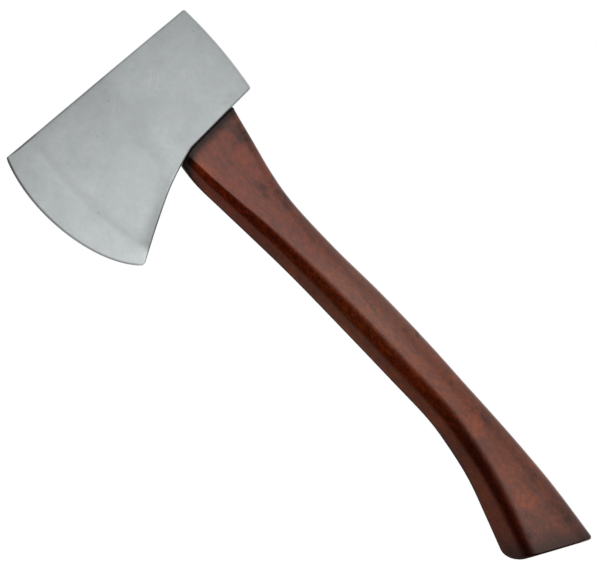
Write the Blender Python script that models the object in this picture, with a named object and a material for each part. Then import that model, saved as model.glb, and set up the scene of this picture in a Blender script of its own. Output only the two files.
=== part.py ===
"""Hatchet: a steel head on a curved hardwood handle, held by a wooden wedge and two steel cross wedges.

Frame: metres. +Z runs up the eye to the head's flat top, +X points to the poll and -X to the cutting
edge. The origin is the middle of the eye, level with the head's top, and Y = 0 is the plane of symmetry.

    blender --background --python part.py
"""

import math

import bmesh
import bpy


def mm(*values):
    """Millimetres to metres."""
    return tuple(0.001 * value for value in values)


# Gap between neighbouring pieces
GAP = 0.0003

# Axe head, side view: corners and curves as (x, z)
TOE = mm(-94.2, 0.0)
EDGE_PULLS = (mm(-105.2, -34.0), mm(-93.0, -80.2))  # inner control points of the cutting edge's Bezier curve
HEEL = mm(-73.5, -94.6)
NECK = mm(-12.0, -61.3)
LAND = mm(21.5, -58.15)  # behind the handle the underside bends slightly into a flat land
POLL_FOOT = mm(34.4, -57.0)
POLL_TOP = mm(33.9, 0.0)
BEARD = (HEEL, mm(-52.5, -81.1), mm(-34.5, -70.6), mm(-21.5, -64.8), NECK)
POLL_RADIUS = 0.266
CHEEK_FRONT = -0.0275  # x where the flat cheeks end and the blade starts to thin

# Axe head, half thicknesses
CHEEK_HALF = 0.0115
CHEEK_FRONT_HALF = 0.0106
BEVEL_HALF = 0.0028
EDGE_HALF = 0.00025
HOLLOW = 0.82  # below 1 hollows the blade behind the bevel
CROWN = 1.25  # above 1 makes the edge bevel bulge
BEVEL_START = 0.70  # share of the way from the cheek to the edge where the edge bevel starts, at the top
BEVEL_START_HEEL = 0.86
CHEEK_EASE = 0.014  # length over which the cheek swells to its full thickness
HEAD_ROUND = 0.0012

# Eye, a hole that is longer and wider at the top so that the wedges can spread the wood in it
EYE_TOP_HALF = mm(19.8, 8.6)
EYE_FOOT_HALF = mm(18.4, 7.9)
EYE_FOOT_Z = -0.062
EYE_SQUARENESS = 2.6
EYE_CHAMFER = 0.0006

# Wooden wedge along the eye, and the saw kerf that holds it: length and thickness at its top and tip
WEDGE_TOP = mm(37.6, 4.6)
WEDGE_TIP = mm(35.4, 1.2)
WEDGE_DEPTH = 0.038
KERF_DEPTH = 0.043

# Steel cross wedges
STEEL_WIDTH = 0.0115
STEEL_TOP, STEEL_TIP = mm(1.9, 0.6)
STEEL_DEPTH = 0.017
STEEL_X = 0.0098  # how far each stands from the middle of the eye

# Handle sections from the head down: front (x, z), back (x, z), half thickness, squareness
HANDLE_SECTIONS = (
    (mm(-23.0, -65.9), mm(20.1, -58.7), 0.0097, 3.6),
    (mm(-23.2, -79.5), mm(16.3, -81.5), 0.0097, 3.6),
    (mm(-21.2, -97.5), mm(13.1, -101.0), 0.0096, 3.4),
    (mm(-18.2, -122.5), mm(11.7, -121.5), 0.0096, 3.1),
    (mm(-14.9, -154.0), mm(13.2, -154.0), 0.0098, 2.9),
    (mm(-12.0, -193.0), mm(17.1, -192.0), 0.0100, 2.8),
    (mm(-9.6, -229.0), mm(19.4, -229.5), 0.0101, 2.8),
    (mm(-7.8, -257.5), mm(20.5, -259.0), 0.0102, 2.8),
    (mm(-8.5, -275.5), mm(21.2, -279.0), 0.0104, 2.8),
    (mm(-11.6, -299.0), mm(21.9, -305.5), 0.0107, 2.9),
    (mm(-17.6, -322.0), mm(21.9, -334.0), 0.0110, 3.0),
    (mm(-25.4, -350.0), mm(20.2, -369.4), 0.0112, 3.0),
)
SHOULDER_ROUND = 0.0012
FOOT_FRONT_ROUND = 0.0095
FOOT_BACK_ROUND = 0.0026

# How finely the lofts are divided
CORNER_STEPS = 3
HEAD_ROWS = 9
CHEEK_COLUMNS = 7
BLADE_COLUMNS = 10
BEVEL_COLUMNS = 5
HANDLE_STEPS = 4  # rings from one handle section to the next
HANDLE_POINTS = 28  # points round the handle
EYE_POINTS = 36


def clear_scene():
    """Removes every object, so that the script can be run again."""
    for old in list(bpy.data.objects):
        bpy.data.objects.remove(old, do_unlink=True)


def new_collection(name):
    """A new collection under the scene's own."""
    collection = bpy.data.collections.new(name)
    bpy.context.scene.collection.children.link(collection)
    return collection


def new_material(name, colour, roughness, metallic):
    """A Principled material with a plain finish."""
    material = bpy.data.materials.new(name)
    material.use_nodes = True
    shader = material.node_tree.nodes["Principled BSDF"]
    shader.inputs["Base Color"].default_value = (*colour, 1.0)
    shader.inputs["Roughness"].default_value = roughness
    shader.inputs["Metallic"].default_value = metallic
    return material


def new_object(name, shape, collection, material=None):
    """Turns a bmesh into a named object, shaded smooth except across sharp edges."""
    bmesh.ops.recalc_face_normals(shape, faces=shape.faces)
    mesh = bpy.data.meshes.new(name)
    shape.to_mesh(mesh)
    shape.free()
    mesh.shade_smooth()
    mesh.set_sharp_from_angle(angle=math.radians(35))
    if material:
        mesh.materials.append(material)
    piece = bpy.data.objects.new(name, mesh)
    collection.objects.link(piece)
    return piece


def mix(low, high, share):
    """The value that lies share of the way from low to high."""
    return low + (high - low) * share


def ease(share):
    """Rises smoothly from 0 to 1 as share does."""
    share = min(max(share, 0.0), 1.0)
    return share * share * (3.0 - 2.0 * share)


def smooth_through(knots, at):
    """The value at a place on a smooth curve through knots, which are (place, value) pairs in order."""
    last = len(knots) - 2
    i = 0
    while i < last and at > knots[i + 1][0]:
        i += 1

    def secant(k):
        return (knots[k + 1][1] - knots[k][1]) / (knots[k + 1][0] - knots[k][0])

    def slope(k):
        if k == 0:
            return secant(0)
        if k == last + 1:
            return secant(last)
        before = knots[k][0] - knots[k - 1][0]
        after = knots[k + 1][0] - knots[k][0]
        return (secant(k - 1) * after + secant(k) * before) / (before + after)

    (x0, y0), (x1, y1) = knots[i], knots[i + 1]
    width = x1 - x0
    t = (at - x0) / width
    return (
        y0 * (1 + 2 * t) * (1 - t) ** 2
        + y1 * (3 - 2 * t) * t**2
        + slope(i) * width * t * (1 - t) ** 2
        - slope(i + 1) * width * t**2 * (1 - t)
    )


def bezier(start, pull_a, pull_b, end, t):
    """A point of a cubic Bezier curve."""
    weights = ((1 - t) ** 3, 3 * (1 - t) ** 2 * t, 3 * (1 - t) * t**2, t**3)
    points = (start, pull_a, pull_b, end)
    return tuple(sum(w * p[i] for w, p in zip(weights, points)) for i in range(2))


def underside(x):
    """Height of the head's lower outline at x: the curved beard, then the two straight stretches."""
    if x < NECK[0]:
        return smooth_through(BEARD, x)
    start, end = (NECK, LAND) if x < LAND[0] else (LAND, POLL_FOOT)
    return mix(start[1], end[1], (x - start[0]) / (end[0] - start[0]))


def loft(rings, ladder_ends):
    """A closed bmesh through rings of equally many points. The end rings are filled by one face each,
    or by a ladder of faces between the two mirrored halves of each ring."""
    shape = bmesh.new()
    verts = [[shape.verts.new(point) for point in ring] for ring in rings]
    count = len(rings[0])
    for upper, lower in zip(verts, verts[1:]):
        for i in range(count):
            j = (i + 1) % count
            shape.faces.new((upper[i], upper[j], lower[j], lower[i]))
    for ring in (verts[0], verts[-1]):
        if ladder_ends:
            for i in range(count // 2 - 1):
                shape.faces.new((ring[i], ring[i + 1], ring[-i - 2], ring[-i - 1]))
        else:
            shape.faces.new(ring)
    return shape


# ---- Axe head ----


def head_point(column, w):
    """Side-view point of the head. column runs from 0 at the poll to 1 at the cheek's front and 2 at the
    cutting edge, and w from 0 at the top to 1 at the lower outline."""
    if column <= 1.0:
        top_x = mix(POLL_TOP[0], CHEEK_FRONT, column)
        foot_x = mix(POLL_FOOT[0], CHEEK_FRONT, column)
        half_height = POLL_FOOT[1] / 2
        bulge = (half_height**2 - (half_height * (1 - 2 * w)) ** 2) / (2 * POLL_RADIUS)
        return mix(top_x, foot_x, w) + bulge * (1 - column), w * underside(foot_x)
    share = column - 1.0
    top_x = mix(CHEEK_FRONT, TOE[0], share)
    foot_x = mix(CHEEK_FRONT, HEEL[0], share)
    edge = bezier(TOE, *EDGE_PULLS, HEEL, w)
    bulge_x = (edge[0] - mix(TOE[0], HEEL[0], w)) * share
    bulge_z = (edge[1] - mix(TOE[1], HEEL[1], w)) * share
    return mix(top_x, foot_x, w) + bulge_x, w * underside(foot_x) + bulge_z


def head_half_thickness(column, w):
    """Half thickness of the head before its outer edges are rounded."""
    x = head_point(column, w)[0]
    if column <= 1.0:
        return mix(CHEEK_FRONT_HALF, CHEEK_HALF, ease((x - CHEEK_FRONT) / CHEEK_EASE))
    share = column - 1.0
    bevel = mix(BEVEL_START, BEVEL_START_HEEL, w**3)
    if share < bevel:
        return mix(CHEEK_FRONT_HALF, BEVEL_HALF, (share / bevel) ** HOLLOW)
    return mix(BEVEL_HALF, EDGE_HALF, ((share - bevel) / (1 - bevel)) ** CROWN)


def rounding(radius, *distances):
    """How far a surface is drawn in at the given distances from its rounded edges."""
    short = sum(max(0.0, radius - distance) ** 2 for distance in distances)
    return radius - math.sqrt(max(0.0, radius**2 - short))


def head_ring(column):
    """One ring of the head, down its +Y side and up its -Y side."""
    length = math.dist(head_point(column, 0.0), head_point(column, 1.0))
    radius = min(HEAD_ROUND, 0.8 * head_half_thickness(column, 0.5))
    corner = [radius / length * (1 - math.cos(math.pi / 2 * i / CORNER_STEPS)) for i in range(CORNER_STEPS)]
    reach = radius / length
    middle = [mix(reach, 1 - reach, i / HEAD_ROWS) for i in range(HEAD_ROWS + 1)]
    half = []
    for w in corner + middle + [1 - share for share in reversed(corner)]:
        x, z = head_point(column, w)
        from_poll = column * (POLL_TOP[0] - CHEEK_FRONT)
        drawn_in = rounding(radius, w * length, (1 - w) * length, from_poll)
        half.append((x, head_half_thickness(column, w) - drawn_in, z))
    return half + [(x, -y, z) for x, y, z in reversed(half)]


def head_columns():
    """Where the head's rings stand, from the poll to the cutting edge."""
    reach = HEAD_ROUND / (POLL_TOP[0] - CHEEK_FRONT)
    columns = [reach * (1 - math.cos(math.pi / 2 * i / CORNER_STEPS)) for i in range(CORNER_STEPS)]
    columns += [mix(reach, 1.0, i / CHEEK_COLUMNS) for i in range(CHEEK_COLUMNS)]
    columns += [1.0 + BEVEL_START * i / BLADE_COLUMNS for i in range(BLADE_COLUMNS)]
    columns += [1.0 + mix(BEVEL_START, 1.0, i / BEVEL_COLUMNS) for i in range(BEVEL_COLUMNS + 1)]
    return columns


def oval(half_length, half_width, z, squareness=EYE_SQUARENESS, count=EYE_POINTS):
    """A level ring round the Z axis, between an ellipse and a rectangle in shape."""
    ring = []
    for i in range(count):
        angle = 2 * math.pi * i / count
        c, s = math.cos(angle), math.sin(angle)
        x = math.copysign(abs(c) ** (2 / squareness), c) * half_length
        y = math.copysign(abs(s) ** (2 / squareness), s) * half_width
        ring.append((x, y, z))
    return ring


def eye_half(z, inset=0.0):
    """Half length and half width of the eye at height z, less inset."""
    share = z / EYE_FOOT_Z
    return tuple(mix(top, foot, share) - inset for top, foot in zip(EYE_TOP_HALF, EYE_FOOT_HALF))


def make_eye_cutter(collection):
    """The shape of the eye, with a chamfer at the head's top, run out past both ends."""
    below, above = -0.080, 0.004
    rings = [
        oval(*eye_half(below), below),
        oval(*eye_half(-EYE_CHAMFER), -EYE_CHAMFER),
        oval(*eye_half(above, -EYE_CHAMFER - above), above),
    ]
    return new_object("eye_cutter", loft(rings, False), collection)


def cut(piece, cutter):
    """Subtracts a cutter from a piece with a Boolean modifier."""
    cutter.hide_render = True
    cutter.display_type = "WIRE"
    boolean = piece.modifiers.new(f"Cut {cutter.name}", "BOOLEAN")
    boolean.operation = "DIFFERENCE"
    boolean.solver = "EXACT"
    boolean.object = cutter


def make_axe_head(collection, cutters):
    """The forged head: poll, cheeks, bearded blade and the eye through it."""
    steel = new_material("head_steel", (0.42, 0.44, 0.45), 0.38, 1.0)
    rings = [head_ring(column) for column in head_columns()]
    head = new_object("axe_head", loft(rings, True), collection, steel)
    cut(head, make_eye_cutter(cutters))
    return head


# ---- Wedges ----


def tapered_block(top_z, depth, top_size, tip_size, centre_x=0.0):
    """A block that narrows downwards. Its sizes are (length along X, width along Y)."""
    shape = bmesh.new()
    bmesh.ops.create_cube(shape, size=1.0)
    for vert in shape.verts:
        length, width = top_size if vert.co.z > 0 else tip_size
        vert.co.x = centre_x + vert.co.x * length
        vert.co.y = vert.co.y * width
        vert.co.z = top_z if vert.co.z > 0 else top_z - depth
    return shape


def grown(size, by):
    """A (length, width) pair with by added on all sides."""
    return tuple(side + 2 * by for side in size)


def steel_slot_cutter(name, x, collection):
    """The slot that a steel wedge sits in, open at the top."""
    above = 0.003
    slope = (STEEL_TOP - STEEL_TIP) / STEEL_DEPTH
    mouth = (STEEL_TOP + slope * above, STEEL_WIDTH)
    floor = (STEEL_TIP - slope * GAP, STEEL_WIDTH)
    depth = STEEL_DEPTH + above + GAP
    shape = tapered_block(above, depth, grown(mouth, GAP), grown(floor, GAP), x)
    return new_object(name, shape, collection)


def make_steel_wedge(name, x, collection, material):
    """A flat steel wedge driven across the wooden one."""
    shape = tapered_block(0.0, STEEL_DEPTH, (STEEL_TOP, STEEL_WIDTH), (STEEL_TIP, STEEL_WIDTH), x)
    return new_object(name, shape, collection, material)


def make_wood_wedge(collection, slots):
    """The wooden wedge that spreads the handle in the eye."""
    wood = new_material("wedge_wood", (0.45, 0.29, 0.15), 0.6, 0.0)
    shape = tapered_block(0.0, WEDGE_DEPTH, WEDGE_TOP, WEDGE_TIP)
    wedge = new_object("wood_wedge", shape, collection, wood)
    for slot in slots:
        cut(wedge, slot)
    return wedge


def make_kerf_cutter(collection):
    """The saw kerf in the handle's top, spread open by the wooden wedge."""
    above = 0.003
    slope = (WEDGE_TOP[1] - WEDGE_TIP[1]) / WEDGE_DEPTH
    through = 2.5 * EYE_TOP_HALF[0]
    mouth = (through, WEDGE_TOP[1] + slope * above + 2 * GAP)
    floor = (through, WEDGE_TIP[1] - slope * (KERF_DEPTH - WEDGE_DEPTH) + 2 * GAP)
    shape = tapered_block(above, KERF_DEPTH + above, mouth, floor)
    return new_object("kerf_cutter", shape, collection)


# ---- Handle ----


def handle_section(place):
    """The handle's section at a place counted in sections from the head down, as front, back, half
    thickness and squareness."""

    def through(value):
        return smooth_through([(i, value(row)) for i, row in enumerate(HANDLE_SECTIONS)], place)

    front = through(lambda row: row[0][0]), through(lambda row: row[0][1])
    back = through(lambda row: row[1][0]), through(lambda row: row[1][1])
    return front, back, through(lambda row: row[2]), through(lambda row: row[3])


def handle_ring(place, inset=0.0):
    """A ring of the handle. The ring under the head follows the slopes of the head's underside, and the
    rings below it straighten out."""
    (front_x, front_z), (back_x, back_z), half, squareness = handle_section(place)
    (top_front_x, top_front_z), (top_back_x, top_back_z) = HANDLE_SECTIONS[0][:2]
    middle, reach = (front_x + back_x) / 2, (back_x - front_x) / 2
    ring = []
    for x, y, _ in oval(reach - inset, half - inset, 0.0, squareness, HANDLE_POINTS):
        share = (x / reach + 1) / 2
        top_x = mix(top_front_x, top_back_x, share)
        lift = underside(top_x) - GAP - mix(top_front_z, top_back_z, share)
        ring.append((middle + x, y, mix(front_z, back_z, share) + lift * (1 - ease(place))))
    return ring


def foot_rings():
    """The handle's last rings, which round the foot's edge, more at its front corner than at its back.
    Each point bends from the handle's side, towards the ring above, into the slanted end face."""
    last = len(HANDLE_SECTIONS) - 1
    above, corner = handle_ring(last - 0.3), handle_ring(last)
    front_x, back_x = HANDLE_SECTIONS[last][0][0], HANDLE_SECTIONS[last][1][0]
    middle = [sum(point[i] for point in corner) / len(corner) for i in range(3)]
    rings = []
    for step in range(CORNER_STEPS + 1):
        angle = math.pi / 2 * step / CORNER_STEPS
        ring = []
        for high, low in zip(above, corner):
            share = (low[0] - front_x) / (back_x - front_x)
            radius = mix(FOOT_FRONT_ROUND, FOOT_BACK_ROUND, ease(1.6 * share))
            up = radius * (1 - math.sin(angle)) / math.dist(high, low)
            inward = radius * (1 - math.cos(angle)) / math.dist(middle, low)
            ring.append(
                tuple(c + (h - c) * up + (m - c) * inward for h, c, m in zip(high, low, middle))
            )
        rings.append(ring)
    return rings


def tongue_rings():
    """The handle's end in the eye, from its flush top down to the shoulder."""
    rings = [oval(*eye_half(z, GAP), z, EYE_SQUARENESS, HANDLE_POINTS) for z in (0.0, -0.030, -0.054)]
    foot = oval(*eye_half(EYE_FOOT_Z, GAP), 0.0, EYE_SQUARENESS, HANDLE_POINTS)
    rings.append([(x, y, underside(x) - GAP) for x, y, _ in foot])
    return rings


def make_handle(collection, cutters):
    """The handle: a tongue through the eye, a shoulder under the head, the curved grip and its foot."""
    wood = new_material("handle_wood", (0.17, 0.05, 0.025), 0.3, 0.0)
    last = len(HANDLE_SECTIONS) - 1
    rings = tongue_rings()
    rings.append(handle_ring(0.0, SHOULDER_ROUND))
    rings.append([(x, y, z - SHOULDER_ROUND) for x, y, z in handle_ring(0.0)])
    rings += [handle_ring(step / HANDLE_STEPS) for step in range(1, last * HANDLE_STEPS - 1)]
    rings += foot_rings()
    handle = new_object("handle", loft(rings, False), collection, wood)
    for cutter in cutters:
        cut(handle, cutter)
    return handle


def main():
    clear_scene()
    parts = new_collection("hatchet")
    cutters = new_collection("cutters")
    steel = new_material("wedge_steel", (0.35, 0.35, 0.36), 0.45, 1.0)

    make_axe_head(parts, cutters)
    slots = []
    for name, x in (("front", -STEEL_X), ("back", STEEL_X)):
        make_steel_wedge(f"steel_wedge_{name}", x, parts, steel)
        slots.append(steel_slot_cutter(f"slot_cutter_{name}", x, cutters))
    make_wood_wedge(parts, slots)
    make_handle(parts, [make_kerf_cutter(cutters), *slots])


main()
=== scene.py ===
"""Looks of the hatchet: fine meshes, procedural materials, floor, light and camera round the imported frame.

The shapes are drawn in millimetres, in side view as (x, z) with z = 0 at the head's top and x = 0 in the
middle of the eye, and UNIT turns them into the frame's metres. -X is the cutting edge's side, the front.
"""

import math

import bmesh
import bpy
from mathutils import Matrix, Vector, noise


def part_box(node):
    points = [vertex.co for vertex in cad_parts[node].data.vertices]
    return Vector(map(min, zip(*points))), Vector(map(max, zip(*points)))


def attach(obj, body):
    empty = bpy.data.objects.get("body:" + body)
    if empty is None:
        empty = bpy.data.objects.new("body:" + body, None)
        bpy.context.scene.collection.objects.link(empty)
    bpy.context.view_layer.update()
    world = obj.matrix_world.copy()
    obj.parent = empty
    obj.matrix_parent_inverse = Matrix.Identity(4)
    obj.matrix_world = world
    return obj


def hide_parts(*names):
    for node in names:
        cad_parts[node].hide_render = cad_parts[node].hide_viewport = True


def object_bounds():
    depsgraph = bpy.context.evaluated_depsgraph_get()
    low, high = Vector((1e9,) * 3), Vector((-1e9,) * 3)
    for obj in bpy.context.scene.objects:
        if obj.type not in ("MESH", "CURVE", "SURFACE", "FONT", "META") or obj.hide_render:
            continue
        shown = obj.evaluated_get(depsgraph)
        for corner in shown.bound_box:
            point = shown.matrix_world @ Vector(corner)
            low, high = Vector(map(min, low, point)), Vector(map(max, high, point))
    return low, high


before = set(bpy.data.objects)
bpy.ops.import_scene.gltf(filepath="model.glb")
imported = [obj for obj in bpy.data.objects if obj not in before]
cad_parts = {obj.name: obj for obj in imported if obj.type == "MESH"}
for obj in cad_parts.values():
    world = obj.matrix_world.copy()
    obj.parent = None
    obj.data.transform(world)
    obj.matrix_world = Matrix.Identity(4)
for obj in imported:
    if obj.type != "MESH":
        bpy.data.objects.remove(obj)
CAD_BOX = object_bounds()

# ---- Places from the frame ----

HEAD_LOW, HEAD_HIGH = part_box("axe_head")
HANDLE_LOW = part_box("handle")[0]
DRAWN_HEAD_LENGTH = 133.97  # from the cutting edge to the poll, in the outline below
UNIT = (HEAD_HIGH.x - HEAD_LOW.x) / DRAWN_HEAD_LENGTH
TOP = HEAD_HIGH.z
CHEEK_HALF = HEAD_HIGH.y / UNIT

GAP = 0.14  # between neighbouring pieces

# ---- Head, side view ----

TOE = (-94.2, 0.0)
EDGE_PULLS = ((-105.2, -34.0), (-93.0, -80.2))
HEEL = (-73.5, -94.6)
NECK = (-12.0, -61.3)
LAND = (21.5, -58.15)
POLL_FOOT = (34.4, -57.0)
POLL_TOP = (33.9, 0.0)
BEARD = (HEEL, (-52.5, -81.1), (-34.5, -70.6), (-21.5, -64.8), NECK)
POLL_RADIUS = 266.0
CHEEK_FRONT = -27.5
TOE_ROUND, HEEL_ROUND, POLL_ROUND = 0.9, 2.4, 1.3  # how far the outline's corners are rounded

# ---- Head, half thicknesses ----

CHEEK_FRONT_HALF = 10.2
BEVEL_HALF = 2.8
EDGE_HALF = 0.55
LIP_HALF = 0.08
LIP = 1.2  # width of the small facet along the cutting edge
HOLLOW = 0.2  # above 0 hollows the blade behind the bevel
CROWN = 1.25  # above 1 makes the bevel bulge
BEVEL_START, BEVEL_START_HEEL = 0.70, 0.77  # share of the way from the cheeks to the edge, at top and heel
CHEEK_EASE = 14.0  # how far behind their front the cheeks begin to slope
CHEEK_CROWN = 0.35  # how much thinner the cheeks get towards the top and the underside
HEAD_EDGE_ROUND = 1.3
HEAD_WAVE = 0.035  # unevenness of the ground faces
HEAD_CORNER_STEPS = 6

# ---- Eye ----

EYE_TOP_HALF = (19.8, 8.6)
EYE_FOOT_HALF = (18.4, 7.9)
EYE_FOOT_Z = -62.0
EYE_SQUARENESS = 2.6  # 2 is an ellipse
EYE_LIP_ROUND = 0.7

# ---- Wedges ----

WEDGE_TOP, WEDGE_TIP = (37.6, 4.6), (35.4, 1.2)  # length and thickness
WEDGE_DEPTH, KERF_DEPTH = 38.0, 43.0
STEEL_WIDTH = 11.5
STEEL_TOP, STEEL_TIP = 1.9, 0.6  # thickness
STEEL_DEPTH = 17.0
STEEL_X = 9.8  # before and behind the middle of the eye
CUTTER_ABOVE = 3.0  # how far the slots' cutters stand out at the top
DENT, DENT_WIDTH = 0.35, 1.6  # of the hammer's marks in the steel wedges

# ---- Handle ----

# Sections from the head down: front (x, z), back (x, z), half thickness, width of the front facet, width of
# the slanting band, softness of the band's edges, size of the back corner
HANDLE_SECTIONS = (
    ((-23.0, -65.9), (20.1, -58.7), 9.7, 3.6, 3.5, 0.8, 2.4),
    ((-23.2, -79.5), (16.3, -81.5), 9.7, 4.8, 4.6, 0.9, 2.6),
    ((-21.2, -97.5), (13.1, -101.0), 9.6, 5.0, 5.3, 1.1, 3.2),
    ((-18.2, -122.5), (11.7, -121.5), 9.6, 5.5, 6.0, 1.5, 3.8),
    ((-14.9, -154.0), (13.45, -154.0), 9.8, 5.6, 6.6, 2.7, 4.4),
    ((-12.0, -193.0), (17.3, -192.0), 10.0, 5.6, 7.3, 3.7, 4.8),
    ((-9.6, -229.0), (19.65, -229.5), 10.1, 5.6, 7.3, 3.6, 5.0),
    ((-7.8, -257.5), (20.7, -259.0), 10.2, 5.8, 7.1, 3.4, 5.0),
    ((-8.5, -275.5), (21.5, -279.0), 10.4, 6.2, 7.0, 3.6, 5.0),
    ((-11.6, -299.0), (22.2, -305.5), 10.7, 7.0, 6.9, 3.7, 5.0),
    ((-17.6, -322.0), (22.1, -334.0), 11.0, 9.2, 5.9, 3.6, 5.0),
    ((-25.4, -349.6), (20.2, -369.4), 11.2, 10.2, 5.2, 3.8, 4.6),
)
BAND_TILT, FACET_TILT = math.radians(21.0), math.radians(40.0)  # of the slanting band and the front facet
NOSE_HALF = 1.3  # least half width of the grip's front edge
NOSE_BEND = 2.4
BAND_TOP, BACK_EDGE = 0.975, 0.94  # half thicknesses as shares of the largest
SHOULDER_ROUND, SHOULDER_END_ROUND = 1.4, 0.4  # at the handle's sides, and at its front and back
FOOT_ROUNDS = (10.0, 2.6, 1.5)  # at the foot's front, back and sides
HANDLE_WAVE = 0.06


# ---- Small tools ----


def mix(low, high, share):
    """The value that lies share of the way from low to high."""
    return low + (high - low) * share


def ease(share):
    """Rises smoothly from 0 to 1 as share does."""
    share = min(max(share, 0.0), 1.0)
    return share * share * (3.0 - 2.0 * share)


def soft_max(first, second):
    """The larger of two values, with a smooth passage from one to the other."""
    return (first + second + math.hypot(first - second, 0.8)) / 2


def quarter_arc(radius, distance):
    """How far a surface is drawn in at a distance from an edge that is rounded with this radius."""
    short = max(0.0, radius - distance)
    return radius - math.sqrt(radius**2 - short**2)


def smooth_through(knots, at):
    """The value at a place on a smooth curve through knots, which are (place, value) pairs in order."""
    last = len(knots) - 2
    i = 0
    while i < last and at > knots[i + 1][0]:
        i += 1

    def secant(k):
        return (knots[k + 1][1] - knots[k][1]) / (knots[k + 1][0] - knots[k][0])

    def slope(k):
        if k == 0:
            return secant(0)
        if k == last + 1:
            return secant(last)
        before = knots[k][0] - knots[k - 1][0]
        after = knots[k + 1][0] - knots[k][0]
        return (secant(k - 1) * after + secant(k) * before) / (before + after)

    (x0, y0), (x1, y1) = knots[i], knots[i + 1]
    width = x1 - x0
    t = (at - x0) / width
    return (
        y0 * (1 + 2 * t) * (1 - t) ** 2
        + y1 * (3 - 2 * t) * t**2
        + slope(i) * width * t * (1 - t) ** 2
        - slope(i + 1) * width * t**2 * (1 - t)
    )


def bezier(start, pull_a, pull_b, end, t):
    """A point of a cubic Bezier curve."""
    weights = ((1 - t) ** 3, 3 * (1 - t) ** 2 * t, 3 * (1 - t) * t**2, t**3)
    points = (start, pull_a, pull_b, end)
    return tuple(sum(w * p[i] for w, p in zip(weights, points)) for i in range(2))


def spaced(low, high, steps):
    """steps values from low, evenly spaced, up to but without high."""
    return [mix(low, high, i / steps) for i in range(steps)]


def to_frame(point):
    """A drawn point in the frame's metres."""
    x, y, z = point
    return Vector((x * UNIT, y * UNIT, z * UNIT + TOP))


def loft(rings, ladder_ends=False):
    """A closed bmesh through rings of equally many points. The end rings are filled by one face each,
    or by a ladder of faces between the two mirrored halves of each ring."""
    shape = bmesh.new()
    verts = [[shape.verts.new(to_frame(point)) for point in ring] for ring in rings]
    count = len(rings[0])
    for upper, lower in zip(verts, verts[1:]):
        for i in range(count):
            j = (i + 1) % count
            shape.faces.new((upper[i], upper[j], lower[j], lower[i]))
    for ring in (verts[0], verts[-1]):
        if ladder_ends:
            for i in range(count // 2 - 1):
                shape.faces.new((ring[i], ring[i + 1], ring[-i - 2], ring[-i - 1]))
        else:
            shape.faces.new(ring)
    return shape


def new_object(name, shape, material=None, sharp=40):
    """Turns a bmesh into an object, smooth except across edges sharper than an angle in degrees."""
    bmesh.ops.recalc_face_normals(shape, faces=shape.faces)
    mesh = bpy.data.meshes.new(name)
    shape.to_mesh(mesh)
    shape.free()
    mesh.shade_smooth()
    mesh.set_sharp_from_angle(angle=math.radians(sharp))
    if material:
        mesh.materials.append(material)
    piece = bpy.data.objects.new(name, mesh)
    bpy.context.scene.collection.objects.link(piece)
    return piece


def carve(piece, cutters, sharp=40):
    """Cuts the cutters' shapes out of a piece for good and removes the cutters."""
    for cutter in cutters:
        boolean = piece.modifiers.new(f"Cut {cutter.name}", "BOOLEAN")
        boolean.operation = "DIFFERENCE"
        boolean.solver = "EXACT"
        boolean.object = cutter
    depsgraph = bpy.context.evaluated_depsgraph_get()
    carved = bpy.data.meshes.new_from_object(piece.evaluated_get(depsgraph))
    piece.modifiers.clear()
    piece.data = carved
    carved.shade_smooth()
    carved.set_sharp_from_angle(angle=math.radians(sharp))
    for cutter in cutters:
        bpy.data.objects.remove(cutter, do_unlink=True)


def keep_flat(piece):
    """Shades large flat faces flat although their edges are rounded."""
    piece.modifiers.new("Flat faces", "WEIGHTED_NORMAL").keep_sharp = True


def ripple(shape, height, wavelength, stretch=(1.0, 1.0, 1.0)):
    """Moves each point along its normal by smooth noise, so that worked faces aren't perfectly even."""
    bmesh.ops.recalc_face_normals(shape, faces=shape.faces)
    shape.normal_update()
    for vert in shape.verts:
        place = Vector(c * s for c, s in zip(vert.co, stretch)) / (wavelength * UNIT)
        vert.co += vert.normal * (noise.noise(place) * height * UNIT)


def settle(piece, node):
    """Makes a piece stand for a CAD node, whose own mesh it hides, and ride on the one body."""
    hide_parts(node)
    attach(piece, "root")
    return piece


# ---- Head ----


def underside(x):
    """Height of the head's lower outline at x: the curved beard, then the two straight stretches."""
    if x < NECK[0]:
        return smooth_through(BEARD, x)
    start, end = (NECK, LAND) if x < LAND[0] else (LAND, POLL_FOOT)
    return mix(start[1], end[1], (x - start[0]) / (end[0] - start[0]))


def round_corner(point, corner, along_a, along_b, reach):
    """Pulls a side-view point near a corner of the outline in, to round the corner, which the outline
    leaves along two directions."""
    offset = Vector(point) - Vector(corner)
    a, b = Vector(along_a).normalized(), Vector(along_b).normalized()
    across = a.x * b.y - a.y * b.x
    from_a = (offset.x * b.y - offset.y * b.x) / across
    from_b = (a.x * offset.y - a.y * offset.x) / across
    short_a, short_b = reach - from_a, reach - from_b
    if short_a <= 0 or short_b <= 0:
        return point
    shrink = max(short_a, short_b) / math.hypot(short_a, short_b)
    turned = Vector(corner) + a * (reach - short_a * shrink) + b * (reach - short_b * shrink)
    return turned.x, turned.y


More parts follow.
